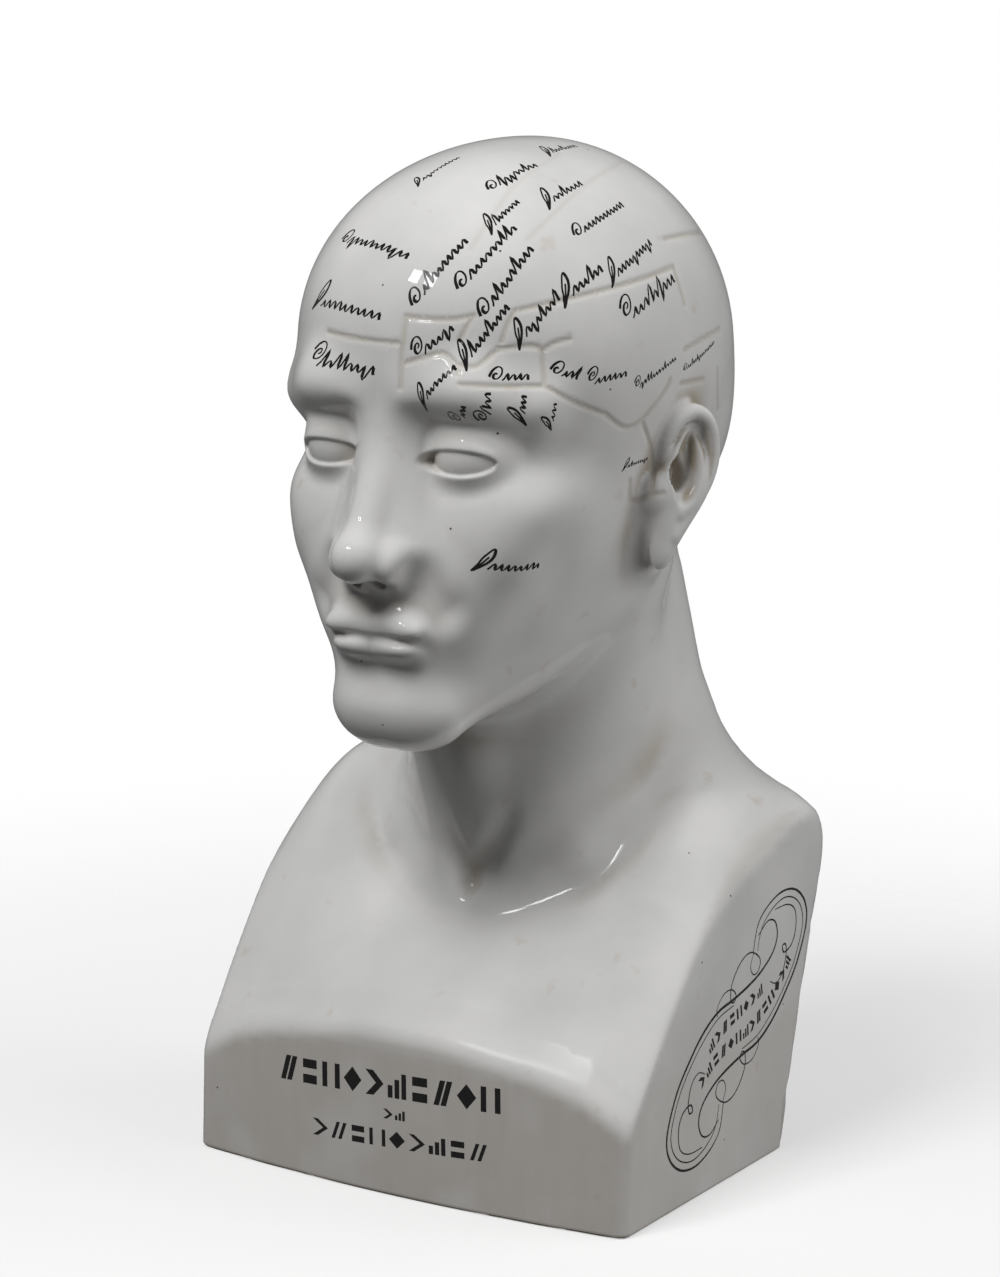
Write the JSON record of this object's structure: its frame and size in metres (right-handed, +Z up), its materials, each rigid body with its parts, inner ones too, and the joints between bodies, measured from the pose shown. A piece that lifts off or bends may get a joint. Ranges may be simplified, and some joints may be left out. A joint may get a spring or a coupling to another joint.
{
  "type": "phrenology head",
  "caption": "Glazed ceramic phrenology head: a bald head with mapped regions on a square-cut bust with flat sides and a flat foot.",
  "frame": {"origin": "on the flat underside, below the middle of the whole bust's bounding box", "axes": "+Z up, the face looks along -Y, +X towards the bust's own left ear"},
  "size_m": [0.1498, 0.1564, 0.29],
  "materials": {
    "white_glaze": "glossy off-white glaze over cast earthenware, with black printed marks"
  },
  "bodies": {
    "root": {"bust": "white_glaze"}
  },
  "joints": []
}
